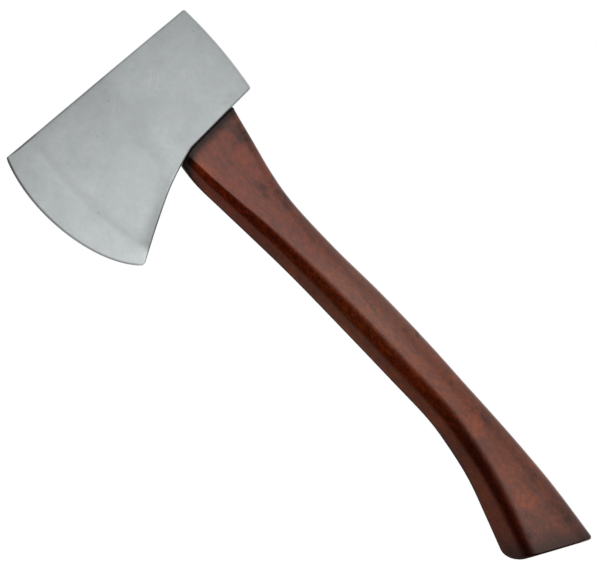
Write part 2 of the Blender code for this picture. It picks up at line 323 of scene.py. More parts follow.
def head_point(column, w):
    """Side-view point of the head. column runs from 0 at the poll to 1 at the cheek's front and 2 at the
    cutting edge, and w from 0 at the top to 1 at the lower outline."""
    if column <= 1.0:
        top_x = mix(POLL_TOP[0], CHEEK_FRONT, column)
        foot_x = mix(POLL_FOOT[0], CHEEK_FRONT, column)
        half_height = POLL_FOOT[1] / 2
        bulge = (half_height**2 - (half_height * (1 - 2 * w)) ** 2) / (2 * POLL_RADIUS)
        point = mix(top_x, foot_x, w) + bulge * (1 - column), w * underside(foot_x)
    else:
        share = column - 1.0
        top_x = mix(CHEEK_FRONT, TOE[0], share)
        foot_x = mix(CHEEK_FRONT, HEEL[0], share)
        edge = bezier(TOE, *EDGE_PULLS, HEEL, w)
        bulge_x = (edge[0] - mix(TOE[0], HEEL[0], w)) * share
        bulge_z = (edge[1] - mix(TOE[1], HEEL[1], w)) * share
        point = mix(top_x, foot_x, w) + bulge_x, w * underside(foot_x) + bulge_z
    point = round_corner(point, POLL_TOP, (-1.0, 0.0), (0.1, -1.0), POLL_ROUND)
    point = round_corner(point, POLL_FOOT, (-1.0, -0.09), (0.1, 1.0), POLL_ROUND)
    point = round_corner(point, TOE, (1.0, 0.0), (-0.31, -0.95), TOE_ROUND)
    return round_corner(point, HEEL, (0.87, 0.49), (-0.8, 0.6), HEEL_ROUND)


def head_half_thickness(column, w):
    """Half thickness of the head before its outer edges are rounded."""
    x = head_point(column, w)[0]
    if column <= 1.0:
        crown = CHEEK_CROWN * (2 * w - 1) ** 2
        slope = max(0.0, 1 - (x - CHEEK_FRONT) / CHEEK_EASE)
        return mix(CHEEK_HALF, CHEEK_FRONT_HALF, slope**2) - crown
    share = column - 1.0
    bevel = mix(BEVEL_START, BEVEL_START_HEEL, w**3)
    crown = CHEEK_CROWN * (2 * w - 1) ** 2 * max(0.0, 1 - share / bevel)
    if share < bevel:
        along = share / bevel
        return mix(CHEEK_FRONT_HALF, BEVEL_HALF, along + HOLLOW * along * (1 - along)) - crown
    lip_start = 1.0 - LIP / (CHEEK_FRONT - TOE[0])
    if share > lip_start:
        return mix(EDGE_HALF, LIP_HALF, (share - lip_start) / (1 - lip_start))
    return mix(BEVEL_HALF, EDGE_HALF, ((share - bevel) / (lip_start - bevel)) ** CROWN)


def corner_places(reach):
    """Places from 0 up to but without reach, spaced for a quarter arc that is steep at 0."""
    angles = spaced(0.0, math.pi / 2, HEAD_CORNER_STEPS)
    return [reach * (1 - math.cos(angle)) for angle in angles]


def head_ring(column):
    """One ring of the head, down its +Y side and up its -Y side."""
    rows = 44
    length = math.dist(head_point(column, 0.0), head_point(column, 1.0))
    radius = min(HEAD_EDGE_ROUND, 0.8 * head_half_thickness(column, 0.5))
    reach = radius / length
    arc = corner_places(reach)
    middle = spaced(reach, 1 - reach, rows) + [1 - reach]
    half = []
    for w in arc + middle + [1 - share for share in reversed(arc)]:
        x, z = head_point(column, w)
        from_poll = column * (POLL_TOP[0] - CHEEK_FRONT)
        drawn_in = quarter_arc(radius, min(w * length, (1 - w) * length, from_poll))
        half.append((x, head_half_thickness(column, w) - drawn_in, z))
    return half + [(x, -y, z) for x, y, z in reversed(half)]


def head_columns():
    """Where the head's rings stand, from the poll to the cutting edge, closer near both ends."""
    reach = HEAD_EDGE_ROUND / (POLL_TOP[0] - CHEEK_FRONT)
    bevel, near_edge = 1.0 + BEVEL_START, 1.96
    lip_start = 2.0 - LIP / (CHEEK_FRONT - TOE[0])
    columns = corner_places(reach) + spaced(reach, 1.0, 34) + spaced(1.0, bevel, 30)
    columns += spaced(bevel, near_edge, 16) + spaced(near_edge, lip_start, 5)
    return columns + spaced(lip_start, 2.0, 3) + [2.0]


def oval(half_length, half_width, z, count=96):
    """A level ring round the Z axis, between an ellipse and a rectangle in shape."""
    ring = []
    for i in range(count):
        angle = 2 * math.pi * i / count
        c, s = math.cos(angle), math.sin(angle)
        x = math.copysign(abs(c) ** (2 / EYE_SQUARENESS), c) * half_length
        y = math.copysign(abs(s) ** (2 / EYE_SQUARENESS), s) * half_width
        ring.append((x, y, z))
    return ring


def eye_half(z, inset=0.0):
    """Half length and half width of the eye at height z, less inset."""
    share = z / EYE_FOOT_Z
    return tuple(mix(top, foot, share) - inset for top, foot in zip(EYE_TOP_HALF, EYE_FOOT_HALF))


def make_eye_cutter():
    """The shape of the eye with a rounded mouth at the head's top, run out past both ends."""
    below, above, lip_steps = -80.0, 4.0, 5
    rings = [oval(*eye_half(below), below), oval(*eye_half(-EYE_LIP_ROUND), -EYE_LIP_ROUND)]
    for step in range(1, lip_steps + 1):
        depth = EYE_LIP_ROUND * (1 - step / lip_steps)
        rings.append(oval(*eye_half(0.0, -quarter_arc(EYE_LIP_ROUND, depth)), -depth))
    rings.append(oval(*eye_half(0.0, -EYE_LIP_ROUND), above))
    return new_object("eye_cutter", loft(rings))


def make_head():
    """The forged and ground steel head."""
    shape = loft([head_ring(column) for column in head_columns()], ladder_ends=True)
    ripple(shape, HEAD_WAVE, 16.0, stretch=(1.0, 0.2, 0.6))
    head = new_object("hatchet_head", shape, head_steel())
    carve(head, [make_eye_cutter()], sharp=60)
    keep_flat(head)
    return settle(head, "axe_head")


# ---- Handle ----


def bent(path, cuts, bend_steps=5, straight_steps=3):
    """Points along a path whose inner corners are bent into curves that begin cut away from them. The
    number of points depends only on the number of corners."""
    points = [path[0]]
    for before, corner, after, cut in zip(path, path[1:], path[2:], cuts):
        to_before, to_after = before - corner, after - corner
        start = corner + to_before * min(cut / to_before.length, 0.5)
        end = corner + to_after * min(cut / to_after.length, 0.5)
        last = points[-1]
        points += [last.lerp(start, i / straight_steps) for i in range(1, straight_steps)]
        for i in range(bend_steps + 1):
            t = i / bend_steps
            points.append(start * (1 - t) ** 2 + corner * (2 * t * (1 - t)) + end * t**2)
    last = points[-1]
    return points + [last.lerp(path[-1], i / straight_steps) for i in range(1, straight_steps + 1)]


def grip_half(reach, front_cut, back_cut, half, facet, band, softness, back_corner):
    """Half of the grip's section as (x, y), from the front over one side to the back: a narrow nose, a
    steep front facet, a slanting band, the crowned side face and a rounded back corner. The cuts take
    the nose and the back off."""
    band_top = BAND_TOP * half
    back_edge = BACK_EDGE * half
    band_foot = band_top - band * math.tan(BAND_TILT)
    nose = soft_max(NOSE_HALF, band_foot - facet * math.tan(FACET_TILT))
    back = reach - back_cut
    path = (
        (-reach + front_cut, 0.0),
        (-reach + front_cut, mix(nose, band_foot, front_cut / facet)),
        (-reach + facet, band_foot),
        (-reach + facet + band, band_top),
        (mix(-reach + facet + band, back - back_corner, 0.5), half),
        (back - back_corner, back_edge),
        (back, back_edge - 1.05 * back_corner),
        (back, 0.0),
    )
    side_bend = 0.2 * reach
    cuts = (NOSE_BEND, 0.8 + 0.7 * softness, softness, side_bend, 0.55 * back_corner, 0.5 * back_corner)
    return bent([Vector(point) for point in path], cuts)


def handle_section(place):
    """The numbers of the handle's section at a place counted in sections from the head down."""
    rows = [(*front, *back, *shape) for front, back, *shape in HANDLE_SECTIONS]
    numbers = [smooth_through(list(enumerate(column)), place) for column in zip(*rows)]
    return numbers[:2], numbers[2:4], numbers[4:]


def grip_ring(place, front_cut=0.0, back_cut=0.0, side_cut=0.0):
    """A ring of the grip, cut off at its ends and drawn in at its sides. The ring under the head follows
    the head's underside, and the rings below it straighten out."""
    (front_x, front_z), (back_x, back_z), (half, *shape) = handle_section(place)
    (top_front_x, top_front_z), (top_back_x, top_back_z) = HANDLE_SECTIONS[0][:2]
    middle = (front_x + back_x) / 2
    reach = (back_x - front_x) / 2
    half_ring = grip_half(reach, front_cut, back_cut, half - side_cut, *shape)
    side = [(middle + point.x, point.y) for point in half_ring]
    ring = []
    for x, y in side + [(x, -y) for x, y in side[-2:0:-1]]:
        share = (x - front_x) / (back_x - front_x)
        top_x = mix(top_front_x, top_back_x, share)
        lift = underside(top_x) - GAP - mix(top_front_z, top_back_z, share)
        ring.append((x, y, mix(front_z, back_z, share) + lift * (1 - ease(place))))
    return ring


def tongue_ring(z):
    """A ring of the tongue in the eye, its points in the same directions as the grip's. z is a height or
    a function of x."""
    outline = grip_ring(0.0)
    middle = sum(x for x, _, _ in outline) / len(outline)
    level = z if callable(z) else lambda x: z
    half_length, half_width = eye_half(level(0.0), GAP)
    ring = []
    for x, y, _ in outline:
        angle = math.atan2(y / half_width, (x - middle) / half_length)
        c, s = math.cos(angle), math.sin(angle)
        radius = (abs(c) ** EYE_SQUARENESS + abs(s) ** EYE_SQUARENESS) ** (-1 / EYE_SQUARENESS)
        px = half_length * radius * c
        ring.append((px, half_width * radius * s, level(px)))
    return ring


def shoulder_rings(steps=6):
    """The rings that round the grip's edge under the head."""
    rings = []
    for step in range(steps + 1):
        angle = math.pi / 2 * step / steps
        end_cut, side_cut = ((1 - math.sin(angle)) * r for r in (SHOULDER_END_ROUND, SHOULDER_ROUND))
        drop = SHOULDER_ROUND * (1 - math.cos(angle))
        ring = grip_ring(0.0, end_cut, end_cut, side_cut)
        rings.append([(x, y, z - drop) for x, y, z in ring])
    return rings


def foot_ring(distance):
    """The ring at a distance above the foot's end face."""
    middles = [[(a + b) / 2 for a, b in zip(*section[:2])] for section in HANDLE_SECTIONS[-2:]]
    cuts = [quarter_arc(radius, distance) for radius in FOOT_ROUNDS]
    return grip_ring(len(HANDLE_SECTIONS) - 1 - distance / math.dist(*middles), *cuts)


def foot_rings(steps=20):
    """The handle's last rings, which round the foot's edge, most at its front corner."""
    angles = [math.pi / 2 * step / steps for step in range(steps + 1)]
    return [foot_ring(max(FOOT_ROUNDS) * (1 - math.sin(angle))) for angle in angles]


def tapered_block(top_z, depth, top_size, tip_size, centre_x=0.0, cuts=0):
    """A block that narrows downwards. Its sizes are (length along X, width along Y)."""
    shape = bmesh.new()
    bmesh.ops.create_cube(shape, size=1.0)
    if cuts:
        bmesh.ops.subdivide_edges(shape, edges=shape.edges, cuts=cuts, use_grid_fill=True)
    for vert in shape.verts:
        up = vert.co.z + 0.5
        length, width = (mix(tip, top, up) for tip, top in zip(tip_size, top_size))
        place = centre_x + vert.co.x * length, vert.co.y * width, top_z - depth * (1 - up)
        vert.co = to_frame(place)
    return shape


def grown(size, by):
    """A (length, width) pair with by added on all sides."""
    return tuple(side + 2 * by for side in size)


def steel_slot_cutters():
    """The slots that the steel wedges sit in, open at the top."""
    slope = (STEEL_TOP - STEEL_TIP) / STEEL_DEPTH
    mouth = grown((STEEL_TOP + slope * CUTTER_ABOVE, STEEL_WIDTH), GAP)
    floor = grown((STEEL_TIP - slope * GAP, STEEL_WIDTH), GAP)
    depth = STEEL_DEPTH + CUTTER_ABOVE + GAP
    blocks = [tapered_block(CUTTER_ABOVE, depth, mouth, floor, x) for x in (-STEEL_X, STEEL_X)]
    return [new_object("slot_cutter", block) for block in blocks]


def make_kerf_cutter():
    """The saw kerf in the handle's top, spread open by the wooden wedge."""
    slope = (WEDGE_TOP[1] - WEDGE_TIP[1]) / WEDGE_DEPTH
    through = 2.5 * EYE_TOP_HALF[0]
    mouth = (through, WEDGE_TOP[1] + slope * CUTTER_ABOVE + 2 * GAP)
    floor = (through, WEDGE_TIP[1] - slope * (KERF_DEPTH - WEDGE_DEPTH) + 2 * GAP)
    return new_object("kerf_cutter", tapered_block(CUTTER_ABOVE, KERF_DEPTH + CUTTER_ABOVE, mouth, floor))


def make_handle():
    """The handle: a tongue through the eye, a shoulder under the head, the faceted grip and its foot."""
    last = len(HANDLE_SECTIONS) - 1
    rings = [tongue_ring(z) for z in (0.0, -15.0, -30.0, -45.0, -54.0)]
    rings.append(tongue_ring(lambda x: underside(x) - GAP))
    rings += shoulder_rings()
    rings += [grip_ring(place) for place in spaced(0.1, last - 0.35, 230)]
    rings += foot_rings()
    shape = loft(rings)
    ripple(shape, HANDLE_WAVE, 14.0, stretch=(1.0, 1.0, 0.45))
    handle = new_object("grip_handle", shape, handle_wood())
    carve(handle, [make_kerf_cutter(), *steel_slot_cutters()])
    keep_flat(handle)
    return settle(handle, "handle")


# ---- Wedges ----


def soften(piece, width):
    """Rounds a piece's sharp edges."""
    bevel = piece.modifiers.new("Soft edges", "BEVEL")
    bevel.width = width * UNIT
    bevel.segments = 3
    bevel.limit_method = "ANGLE"
    bevel.angle_limit = math.radians(40)


def make_wood_wedge():
    """The wooden wedge that spreads the handle in the eye."""
    shape = tapered_block(0.0, WEDGE_DEPTH, WEDGE_TOP, WEDGE_TIP)
    wedge = new_object("eye_wedge_wood", shape, wedge_wood())
    carve(wedge, steel_slot_cutters())
    soften(wedge, 0.25)
    return settle(wedge, "wood_wedge")


def make_steel_wedges():
    """The two flat steel wedges driven across the wooden one, their heads dented by the hammer."""
    steel = wedge_steel()
    top, tip = (STEEL_TOP, STEEL_WIDTH), (STEEL_TIP, STEEL_WIDTH)
    for name, x in (("front", -STEEL_X), ("back", STEEL_X)):
        shape = tapered_block(0.0, STEEL_DEPTH, top, tip, x, cuts=11)
        for vert in shape.verts:
            if vert.co.z > TOP - 0.1 * UNIT:
                vert.co.z -= DENT * UNIT * abs(noise.noise(vert.co / (DENT_WIDTH * UNIT)))
        wedge = new_object(f"eye_wedge_steel_{name}", shape, steel)
        soften(wedge, 0.2)
        settle(wedge, f"steel_wedge_{name}")


# ---- Material tools ----


def add_node(tree, kind, inputs=None, **settings):
    """Adds a node. inputs maps an input's name or number to a value or to another node's output."""
    made = tree.nodes.new(kind)
    for key, value in settings.items():
        setattr(made, key, value)
    for key, value in (inputs or {}).items():
        if isinstance(value, bpy.types.NodeSocket):
            tree.links.new(value, made.inputs[key])
        else:
            made.inputs[key].default_value = value
    return made


def calculate(tree, operation, *values):
    """A Math node's result."""
    return add_node(tree, "ShaderNodeMath", dict(enumerate(values)), operation=operation).outputs[0]


def combine(tree, operation, first, *others):
    """Several values taken together one after another, for instance the largest of them."""
    for other in others:
        first = calculate(tree, operation, first, other)
    return first


def times(tree, *values):
    """The product of several values."""
    return combine(tree, "MULTIPLY", *values)


def linear(tree, value, factor, offset):
    """factor times a value, plus offset."""
    return calculate(tree, "MULTIPLY_ADD", value, factor, offset)


def band(tree, value, full, none):
    """1 where a value is at full or past it, 0 at none or past it, with a smooth change between them."""
    inputs = {"Value": value, "From Min": none, "From Max": full}
    return add_node(tree, "ShaderNodeMapRange", inputs, interpolation_type="SMOOTHSTEP").outputs[0]


def ramp(tree, value, stops, interpolation="LINEAR"):
    """A value or colour looked up between stops, which are (place, grey or colour) pairs."""
    made = add_node(tree, "ShaderNodeValToRGB", {"Fac": value})
    made.color_ramp.interpolation = interpolation
    elements = made.color_ramp.elements
    while len(elements) < len(stops):
        elements.new(0.5)
    for element, (place, colour) in zip(elements, stops):
        element.position = place
        element.color = (*(colour if isinstance(colour, tuple) else (colour,) * 3), 1.0)
    return made.outputs["Color"]


def blend(tree, share, first, second, blend_type="MIX"):
    """A mix of two colours."""
    made = add_node(tree, "ShaderNodeMix", data_type="RGBA", blend_type=blend_type)
    for socket, value in zip((made.inputs[0], made.inputs[6], made.inputs[7]), (share, first, second)):
        if isinstance(value, bpy.types.NodeSocket):
            tree.links.new(value, socket)
        else:
            socket.default_value = (*value, 1.0) if isinstance(value, tuple) else value
    return made.outputs[2]


def shaded(tree, colour, *shades):
    """A colour multiplied by several greys or colours."""
    for shade in shades:
        colour = blend(tree, 1.0, colour, shade, "MULTIPLY")
    return colour


def vector_math(tree, operation, first, second, output="Vector"):
    """A Vector Math node's result."""
    inputs = {0: first, 1: second}
    return add_node(tree, "ShaderNodeVectorMath", inputs, operation=operation).outputs[output]


def parts(tree, vector):
    """The X, Y and Z parts of a vector."""
    return add_node(tree, "ShaderNodeSeparateXYZ", {0: vector}).outputs


def normal_parts(tree):
    """The X, Y and Z parts of the surface's normal."""
    return parts(tree, add_node(tree, "ShaderNodeNewGeometry").outputs["Normal"])


def drawn_place(tree):
    """The place on the object in drawn millimetres."""
    coordinates = add_node(tree, "ShaderNodeTexCoord").outputs["Object"]
    inputs = {"Vector": coordinates, "Location": (0.0, 0.0, -TOP / UNIT), "Scale": (1 / UNIT,) * 3}
    return add_node(tree, "ShaderNodeMapping", inputs).outputs[0]


def sized(tree, place, size, turn=0.0):
    """A place for a texture whose features are size millimetres wide, or so many along X, Y and Z. turn
    leans their Z axis towards +X, in degrees."""
    scale = size if isinstance(size, tuple) else (size,) * 3
    inputs = {"Vector": place, "Rotation": (0.0, math.radians(turn), 0.0), "Scale": scale}
    return add_node(tree, "ShaderNodeMapping", inputs, vector_type="TEXTURE").outputs[0]


def cloud(tree, place, size, detail=3.0, roughness=0.5, distortion=0.0, turn=0.0, output="Fac"):
    """Soft noise from 0 to 1, mostly between 0.3 and 0.7, with features of a size in millimetres."""
    inputs = {"Vector": sized(tree, place, size, turn), "Scale": 1.0}
    inputs |= {"Detail": detail, "Roughness": roughness, "Distortion": distortion}
    return add_node(tree, "ShaderNodeTexNoise", inputs).outputs[output]


def frayed(tree, place, size, reach):
    """A place pushed about by noise by up to reach millimetres, which gives spots ragged edges."""
    push = cloud(tree, place, size, 1.0, output="Color")
    push = vector_math(tree, "SUBTRACT", push, (0.5,) * 3)
    push = vector_math(tree, "MULTIPLY", push, (4.0 * reach,) * 3)
    return vector_math(tree, "ADD", place, push)


def spot(tree, place, centre, radius, height=1.0, soft=0.1):
    """1 near a point (x, z) on either side of the object and 0 beyond the radius, in millimetres. The spot
    is height times as tall as it is wide."""
    flat = vector_math(tree, "MULTIPLY", place, (1.0, 0.0, 1.0 / height))
    apart = vector_math(tree, "DISTANCE", flat, (centre[0], 0.0, centre[1] / height), "Value")
    return band(tree, calculate(tree, "DIVIDE", apart, radius), soft, 1.0)


def spots(tree, place, places, height=1.0):
    """The sum of several spots, each given by its point (x, z) and its radius."""
    return combine(tree, "ADD", 0.0, *(spot(tree, place, *one, height) for one in places))


def line_height(tree, x, start, end):
    """Height at x of the straight line through two (x, z) points."""
    slope = (end[1] - start[1]) / (end[0] - start[0])
    return linear(tree, x, slope, start[1] - slope * start[0])


def new_material(name):
    """A material with a Principled shader. Returns the material, its node tree and the shader node."""
    material = bpy.data.materials.new(name)
    material.use_nodes = True
    tree = material.node_tree
    return material, tree, tree.nodes["Principled BSDF"]


def set_shader(shader, **values):
    """Sets or links the shader's inputs; an underscore in a name stands for a space."""
    for name, value in values.items():
        socket = shader.inputs[name.replace("_", " ")]
        if isinstance(value, bpy.types.NodeSocket):
            shader.id_data.links.new(value, socket)
        else:
            socket.default_value = value


def bump(tree, heights):
    """The normal after a chain of bumps, which are (height, size in millimetres) pairs."""
    normal = None
    for height, size in heights:
        inputs = {"Height": height, "Strength": 1.0, "Distance": size * UNIT}
        if normal:
            inputs["Normal"] = normal
        normal = add_node(tree, "ShaderNodeBump", inputs).outputs["Normal"]
    return normal


# ---- Head steel ----

STEEL = (0.412, 0.435, 0.441)
STEEL_SHADOW = (0.2, 0.205, 0.205)
# Painted shade colour of the facet along the cutting edge
STEEL_EDGE_SHADE = (0.05, 0.05, 0.05)
STEEL_SCUFF = (0.62, 0.63, 0.63)

# Painted shade: tone by the share of the way down and of the way back to the poll, darker at the top and
# towards the poll. Tone by how squarely a face looks sideways, which brightens the rims
HEAD_SHADE_DOWN = ((0.0, 0.87), (0.1, 0.93), (0.27, 0.985), (0.47, 1.02), (0.65, 1.04), (0.85, 0.97))
HEAD_SHADE_BACK = ((0.3, 1.0), (0.75, 0.955), (1.0, 0.88))
HEAD_TONE_END = (36.0, -95.0)  # x and z where those shares are 1
RIM_TONE = ((0.2, 1.0), (0.35, 1.5), (0.85, 1.5), (0.97, 1.0))
# Painted shade on the facet along the cutting edge, by how squarely it looks sideways
EDGE_SHADE = ((0.55, 0.0), (0.75, 0.68), (0.93, 0.68), (0.985, 0.0))  # of the facet along the cutting edge

# The bevel's soft line is upright at BEVEL_LINE_X, and bends back by BEVEL_LINE_BACK between two heights
BEVEL_LINE_X, BEVEL_LINE_BACK = -77.6, 9.6
BEVEL_LINE_BEND = (-25.0, -84.0)

# Small pits and a rubbed patch in the head's faces: (x, z) and radius
STEEL_PITS = (
    ((-30.5, -12.2), 1.3),
    ((-48.0, -23.0), 0.9),
    ((-44.5, -24.0), 0.7),
    ((-60.7, -28.2), 0.8),
    ((-51.5, -34.0), 0.8),
    ((-69.8, -24.3), 0.7),
    ((-74.5, -56.0), 0.9),
    ((30.1, -12.8), 1.1),
)
STEEL_SCUFFS = (((-3.5, -17.5), 9.0), ((11.0, -29.0), 6.0))


def sideways(tree):
    """1 where a face looks straight to either side, 0 where it looks across."""
    return calculate(tree, "ABSOLUTE", normal_parts(tree)[1])


def steel_tone_and_shade(tree, place, clouding, marks):
    """The steel's colour before shadows and scuffs, with painted shade at the top and towards the poll."""
    x, _, z = parts(tree, place)
    mottle = cloud(tree, place, (2.0, 2.0, 2.5), 3.0, 0.6)
    return shaded(
        tree,
        STEEL,
        ramp(tree, clouding, ((0.3, 0.93), (0.7, 1.06))),
        ramp(tree, mottle, ((0.3, 0.965), (0.7, 1.03))),
        ramp(tree, marks, ((0.3, 0.985), (0.7, 1.01))),
        # Painted shade: darker at the top and towards the poll
        ramp(tree, calculate(tree, "DIVIDE", z, HEAD_TONE_END[1]), HEAD_SHADE_DOWN),
        ramp(tree, calculate(tree, "DIVIDE", x, HEAD_TONE_END[0]), HEAD_SHADE_BACK),
        ramp(tree, sideways(tree), RIM_TONE),
    )


def behind_bevel(tree, x, z):
    """How far a point lies behind the bevel's soft line, in millimetres."""
    start, end = BEVEL_LINE_BEND
    bend = calculate(tree, "MAXIMUM", linear(tree, z, 1 / (end - start), start / (start - end)), 0.0)
    line_x = linear(tree, times(tree, bend, bend), BEVEL_LINE_BACK, BEVEL_LINE_X)
    return calculate(tree, "SUBTRACT", x, line_x)


def steel_shadow(tree, place):
    """Share of shadow on the head: along the bevel's line, along the beard and in the pits."""
    x, _, z = parts(tree, place)
    behind = behind_bevel(tree, x, z)
    bevel_line = times(tree, band(tree, behind, 1.0, -2.0), band(tree, behind, 1.0, 7.0), 0.15)
    above_beard = calculate(tree, "SUBTRACT", z, line_height(tree, x, HEEL, BEARD[2]))
    near_beard = band(tree, above_beard, 0.0, 11.0)
    along_beard = (band(tree, behind, 3.5, -3.0), band(tree, x, -54.0, -26.0))
    beard = times(tree, near_beard, *along_beard, 0.7)
    pits = times(tree, spots(tree, place, STEEL_PITS), 0.35)
    return combine(tree, "ADD", bevel_line, beard, pits)


def steel_scuffs(tree, place):
    """Share of bright rubbed lines on the head."""
    lines = cloud(tree, place, (1.6, 2.0, 7.0), 2.0, turn=42.0)
    lines = ramp(tree, lines, ((0.45, 0.0), (0.7, 0.22)))
    return times(tree, spots(tree, place, STEEL_SCUFFS), lines)


def head_steel():
    """Satin ground steel: clouded, with faint marks down its faces and bright rims; painted shade and
    shadows darken it, most of all on the cutting edge's facet.
    """
    material, tree, shader = new_material("head_steel")
    place = drawn_place(tree)
    marks = cloud(tree, place, (0.55, 0.55, 8.0), 3.0, 0.6)
    clouding = cloud(tree, place, 14.0, 5.0, 0.62, 0.6)
    grit = cloud(tree, place, 0.4, 2.0)
    # Painted shade on the facet along the cutting edge
    at_front = band(tree, parts(tree, place)[0], -78.0, -70.0)
    edge = times(tree, ramp(tree, sideways(tree), EDGE_SHADE), at_front)
    tone = steel_tone_and_shade(tree, place, clouding, marks)
    tone = blend(tree, steel_shadow(tree, place), tone, STEEL_SHADOW)
    tone = blend(tree, edge, tone, STEEL_EDGE_SHADE)
    tone = blend(tree, steel_scuffs(tree, place), tone, STEEL_SCUFF)
    set_shader(
        shader,
        Base_Color=tone,
        Metallic=1.0,
        Roughness=ramp(tree, marks, ((0.3, 0.42), (0.7, 0.48))),
        Normal=bump(tree, ((marks, 0.01), (grit, 0.008), (clouding, 0.1))),
    )
    return material


# ---- Handle wood ----

WOOD_HUES = (
    (0.36, (0.122, 0.0205, 0.0075)),
    (0.5, (0.143, 0.0192, 0.0026)),
    (0.68, (0.165, 0.0275, 0.0018)),
)
WOOD_FLECK = (0.28, 0.048, 0.003)
WOOD_WARMTH = (0.27, 0.048, 0.003)
# Colour of the dark smudge marks and of the painted shade among them
WOOD_SMUDGE_AND_SHADE = (0.035, 0.02, 0.016)
# Colour of the painted shade on the forward-facing band and front facet
WOOD_FRONT_SHADE = (0.025, 0.002, 0.001)
# Colour of the wood right under the head, partly stained and partly painted shade
WOOD_STAIN_AND_SHADE = (0.012, 0.006, 0.005)

# The wood's tone by height, which is partly painted sheen and shade, and the varnish's thickness by height
WOOD_TONE_AND_SHEEN_DOWN = (
    (-75, (1.07, 1.07, 1.13)),
    (-95, (1.15, 1.13, 1.13)),
    (-125, (0.97, 1.04, 1.13)),
    (-150, (1.13, 1.27, 1.13)),
    (-170, (1.13, 1.5, 1.5)),
    (-205, (1.14, 1.5, 1.5)),
    (-228, (1.1, 1.31, 1.13)),
    (-265, (1.22, 1.46, 1.07)),
    (-287, (0.87, 1.08, 1.0)),
    (-312, (1.12, 1.34, 1.0)),
    (-345, (0.89, 1.02, 1.0)),
)
COAT_DOWN = (
    (-150, 1.02),
    (-170, 1.2),
    (-205, 1.22),
    (-230, 1.0),
    (-270, 0.78),
    (-300, 0.76),
    (-330, 0.84),
)

BAND_LEAN = ((0.12, 0.0), (0.3, 1.0), (0.42, 1.0), (0.52, 0.0))  # how far the slanting band leans forward
# Flecks and painted shade on the slanting band: darker and redder, with stronger flecks
BAND_FLECKS_AND_SHADE = ((0.36, (0.68, 0.52, 0.52)), (0.64, (1.4, 0.98, 1.1)))
CURL = ((12.0, -256.0), 40.0)  # where the grain curls: (x, z) and radius
PITH = (34.0, 21.0, 0.0)  # centre of the growth rings, outside the handle

# Warmer patches, and dark smudge marks with some painted shade, in the handle's sides: (x, z) and radius
PATCH_HEIGHT = 1.8  # of their width
WOOD_WARM = (
    ((-14.5, -74), 6),
    ((1.6, -120.4), 1.6),
    ((6, -232), 7),
    ((11, -279), 6),
    ((5, -328), 7),
)
# The first two, at the top of the grip's back under the head, are painted shade
WOOD_SMUDGES_AND_SHADE = (
    ((13, -70), 9),
    ((15, -80), 4.5),
    ((5, -104), 4),
    ((9.5, -115), 5),
    ((18.5, -217), 4),
    ((13, -251), 3),
    ((17, -281), 4),
    ((14, -322), 4.5),
    ((-4, -346), 5.5),
    ((17, -350), 10),
)


def by_height(tree, z, stops):
    """A value or colour that changes down the handle, given by (height, value) pairs from the top down."""
    foot = -370.0
    places = [(height / foot, value) for height, value in stops]
    return ramp(tree, calculate(tree, "DIVIDE", z, foot), places)


def wood_streaks(tree, place, grain_place):
    """Long streaks along the grain, which lean over where the grain curls."""
    streaks = cloud(tree, grain_place, (4.0, 4.0, 50.0), 4.0, 0.55, 0.4)
    curl = cloud(tree, grain_place, (4.0, 4.0, 30.0), turn=-30.0)
    return blend(tree, spot(tree, place, *CURL, soft=0.3), streaks, curl)


def plain_wood(tree, place, grain_place, fibres, mottle):
    """The wood's colour along the grain before patches and stained marks, with painted sheen and shade by
    height.
    """
    hue = cloud(tree, place, (5.0, 5.0, 8.0), 4.0, 0.65, 0.8)
    return shaded(
        tree,
        ramp(tree, hue, WOOD_HUES),
        ramp(tree, wood_streaks(tree, place, grain_place), ((0.3, 0.7), (0.5, 1.0), (0.7, 1.18))),
        ramp(tree, mottle, ((0.3, 0.74), (0.7, 1.24))),
        ramp(tree, fibres, ((0.32, 0.8), (0.5, 1.0), (0.7, 1.1))),
        by_height(tree, parts(tree, place)[2], WOOD_TONE_AND_SHEEN_DOWN),
    )


def patches(tree, place, mottle, places, stops):
    """Share of ragged patches, given like spots, as patchy as the mottle."""
    ragged = spots(tree, frayed(tree, place, 9.0, 3.5), places, PATCH_HEIGHT)
    return times(tree, ragged, ramp(tree, mottle, stops))


def foot_rim_shade(tree, place):
    """Share of painted shade along the rim of the foot, darkest at its end."""
    x, _, z = parts(tree, place)
    above_foot = calculate(tree, "SUBTRACT", z, line_height(tree, x, *HANDLE_SECTIONS[-1][:2]))
    return times(tree, band(tree, above_foot, 1.0, 17.0), 0.85)


def stain_and_shade_under_head(tree, place, mottle):
    """Share of the dark, ragged mark on the wood right under the head: partly stained, partly painted shade
    under the head's overhang.
    """
    x, _, z = parts(tree, place)
    before_neck = NECK[0] - 11.0, NECK[1] - 7.0
    stain_line = calculate(
        tree, "MINIMUM", line_height(tree, x, NECK, LAND), line_height(tree, x, before_neck, NECK)
    )
    ragged = linear(tree, mottle, -3.0, 1.5)
    below_head = calculate(tree, "ADD", calculate(tree, "SUBTRACT", stain_line, z), ragged)
    return times(tree, band(tree, below_head, 1.0, 8.5), band(tree, z, -56.0, -45.0))


